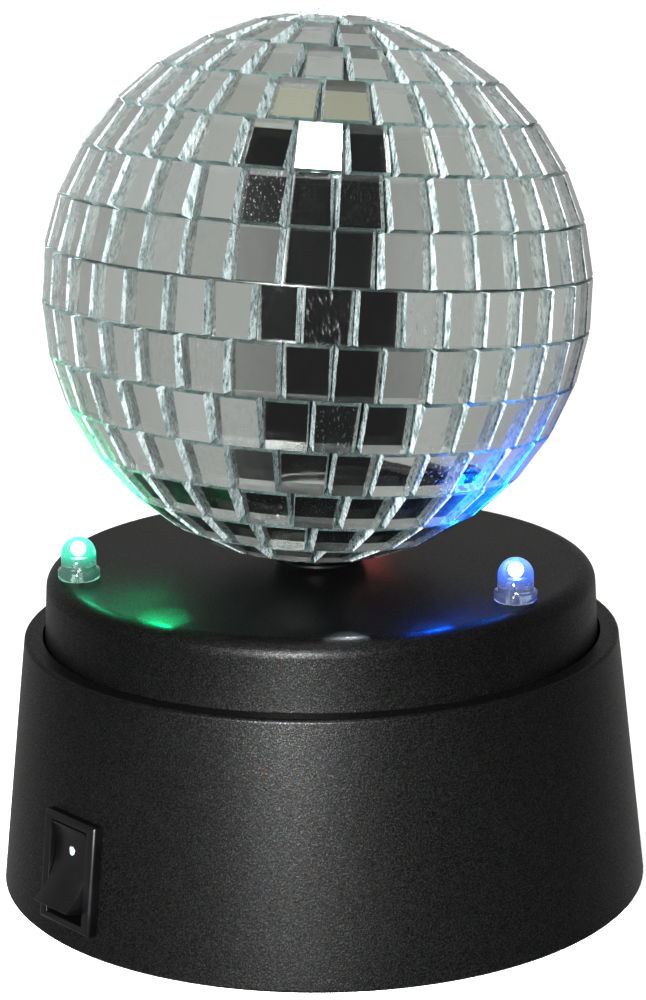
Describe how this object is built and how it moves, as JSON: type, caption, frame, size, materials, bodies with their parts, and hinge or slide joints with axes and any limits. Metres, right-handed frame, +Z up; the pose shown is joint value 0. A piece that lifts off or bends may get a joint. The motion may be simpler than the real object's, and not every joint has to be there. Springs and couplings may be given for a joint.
{
  "type": "mirror ball",
  "caption": "Tabletop mirror ball: a sphere of flat mirror tiles turned by a geared motor on a round battery base with LEDs and a rocker switch.",
  "frame": {"origin": "middle of the base's underside, on the surface it stands on", "axes": "+Z up along the ball's spin axis, front of the base towards -Y, rocker switch at the front left"},
  "size_m": [0.0926, 0.0924, 0.1236],
  "materials": {
    "black_case": "fine spark-eroded grain",
    "black_gloss": "smooth",
    "mirror_glass": "silvered glass",
    "clear_epoxy": "clear",
    "lead_steel": "tinned",
    "led_die": "lit",
    "cell_jacket": "printed sleeve, no lettering",
    "board_green": "solder mask",
    "black_ceramic": "matt",
    "motor_steel": "satin",
    "shaft_steel": "ground",
    "white_nylon": "natural",
    "brass_part": "machined",
    "grey_abs": "moulded",
    "screw_steel": "zinc",
    "red_wire": "insulated",
    "black_wire": "insulated",
    "core_plastic": "moulded"
  },
  "bodies": {
    "base": {"base_body": "black_case", "top_cover": "black_case", "shaft_bush": "brass_part", "bottom_plate": "black_case", "battery_1": "cell_jacket", "battery_2": "cell_jacket", "battery_3": "cell_jacket", "battery_contacts": "lead_steel", "battery_springs": "lead_steel", "switch_housing": "black_gloss", "switch_terminals": "lead_steel", "circuit_board": "board_green", "board_resistors": "black_ceramic", "led_green_lens": "clear_epoxy", "led_green_frame": "lead_steel", "led_blue_lens": "clear_epoxy", "led_blue_frame": "lead_steel", "led_red_lens": "clear_epoxy", "led_red_frame": "lead_steel", "led_chips": "led_die", "motor_can": "motor_steel", "motor_end_cap": "white_nylon", "motor_magnet": "black_ceramic", "gear_pins": "shaft_steel", "gearbox_cup": "grey_abs", "gearbox_lid": "grey_abs", "gearbox_screws": "screw_steel", "cover_screws": "screw_steel", "bottom_screws": "screw_steel", "motor_screws": "screw_steel", "wires_red": "red_wire", "wires_black": "black_wire"},
    "ball": {"output_gear": "white_nylon", "drive_shaft": "shaft_steel", "ball_hub": "black_gloss", "ball_core_lower": "core_plastic", "ball_core_upper": "core_plastic", "mirror_top_tile": "mirror_glass", "mirror_row_01": "mirror_glass", "mirror_row_02": "mirror_glass", "mirror_row_03": "mirror_glass", "mirror_row_04": "mirror_glass", "mirror_row_05": "mirror_glass", "mirror_row_06": "mirror_glass", "mirror_row_07": "mirror_glass", "mirror_row_08": "mirror_glass", "mirror_row_09": "mirror_glass", "mirror_row_10": "mirror_glass", "mirror_row_11": "mirror_glass", "mirror_row_12": "mirror_glass", "mirror_row_13": "mirror_glass", "mirror_row_14": "mirror_glass", "mirror_row_15": "mirror_glass"},
    "motor_armature": {"motor_shaft": "shaft_steel", "motor_rotor": "motor_steel", "motor_pinion": "brass_part"},
    "first_gear": {"gear_first": "white_nylon"},
    "second_gear": {"gear_second": "white_nylon"},
    "rocker": {"switch_rocker": "black_gloss"},
    "door": {"battery_door": "black_case"}
  },
  "joints": [
    {"name": "ball_spin", "type": "hinge", "parent": "base", "child": "ball", "pos_m": [0, 0, 0.045], "axis": [0, 0, 1], "continuous": true},
    {"name": "second_gear_spin", "type": "hinge", "parent": "base", "child": "second_gear", "pos_m": [-0.00601, -0.01319, 0.038], "axis": [0, 0, 1], "continuous": true},
    {"name": "first_gear_spin", "type": "hinge", "parent": "base", "child": "first_gear", "pos_m": [0.00649, -0.01297, 0.036], "axis": [0, 0, 1], "continuous": true},
    {"name": "motor_spin", "type": "hinge", "parent": "base", "child": "motor_armature", "pos_m": [0.01281, -0.00219, 0.026], "axis": [0, 0, 1], "continuous": true},
    {"name": "rocker_tip", "type": "hinge", "parent": "base", "child": "rocker", "pos_m": [-0.03247, -0.02852, 0.01068], "axis": [0.66, -0.7513, 0], "range_deg": [0, 26]},
    {"name": "door_swing", "type": "hinge", "parent": "base", "child": "door", "pos_m": [-0.01927, 0.02194, 0.0012], "axis": [0.7513, 0.66, 0], "range_deg": [0, 60]}
  ],
  "couplings": [
    {"joint": "second_gear_spin", "follows": "ball_spin", "ratio": -4.8},
    {"joint": "first_gear_spin", "follows": "ball_spin", "ratio": 19.2},
    {"joint": "motor_spin", "follows": "ball_spin", "ratio": -76.8}
  ]
}
